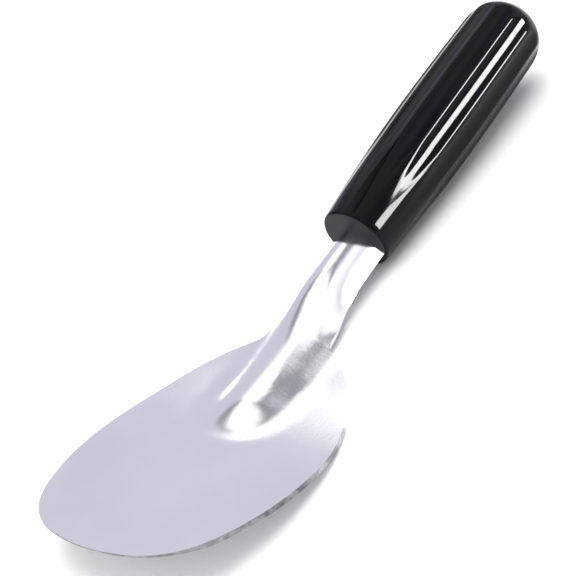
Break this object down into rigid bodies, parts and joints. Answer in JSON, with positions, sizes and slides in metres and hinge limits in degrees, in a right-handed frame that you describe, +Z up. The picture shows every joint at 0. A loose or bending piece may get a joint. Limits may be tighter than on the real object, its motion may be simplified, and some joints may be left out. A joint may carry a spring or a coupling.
{
  "type": "ice cream spade",
  "caption": "Spade with a broad flat rounded steel blade that sweeps up into a half-round neck, and a round fluted black grip, for working and serving ice cream.",
  "frame": {"origin": "on the floor under the middle of the spade's box, as it lies at rest on the heel of the blade and the lower edge of the grip", "axes": "+X from the blade to the butt of the grip, +Y across the spade to its left seen from the butt end, +Z up"},
  "size_m": [0.2407, 0.088, 0.0317],
  "materials": {
    "steel": "satin",
    "grip_plastic": "gloss"
  },
  "bodies": {
    "root": {"blade": "steel", "handle": "grip_plastic"}
  },
  "joints": []
}
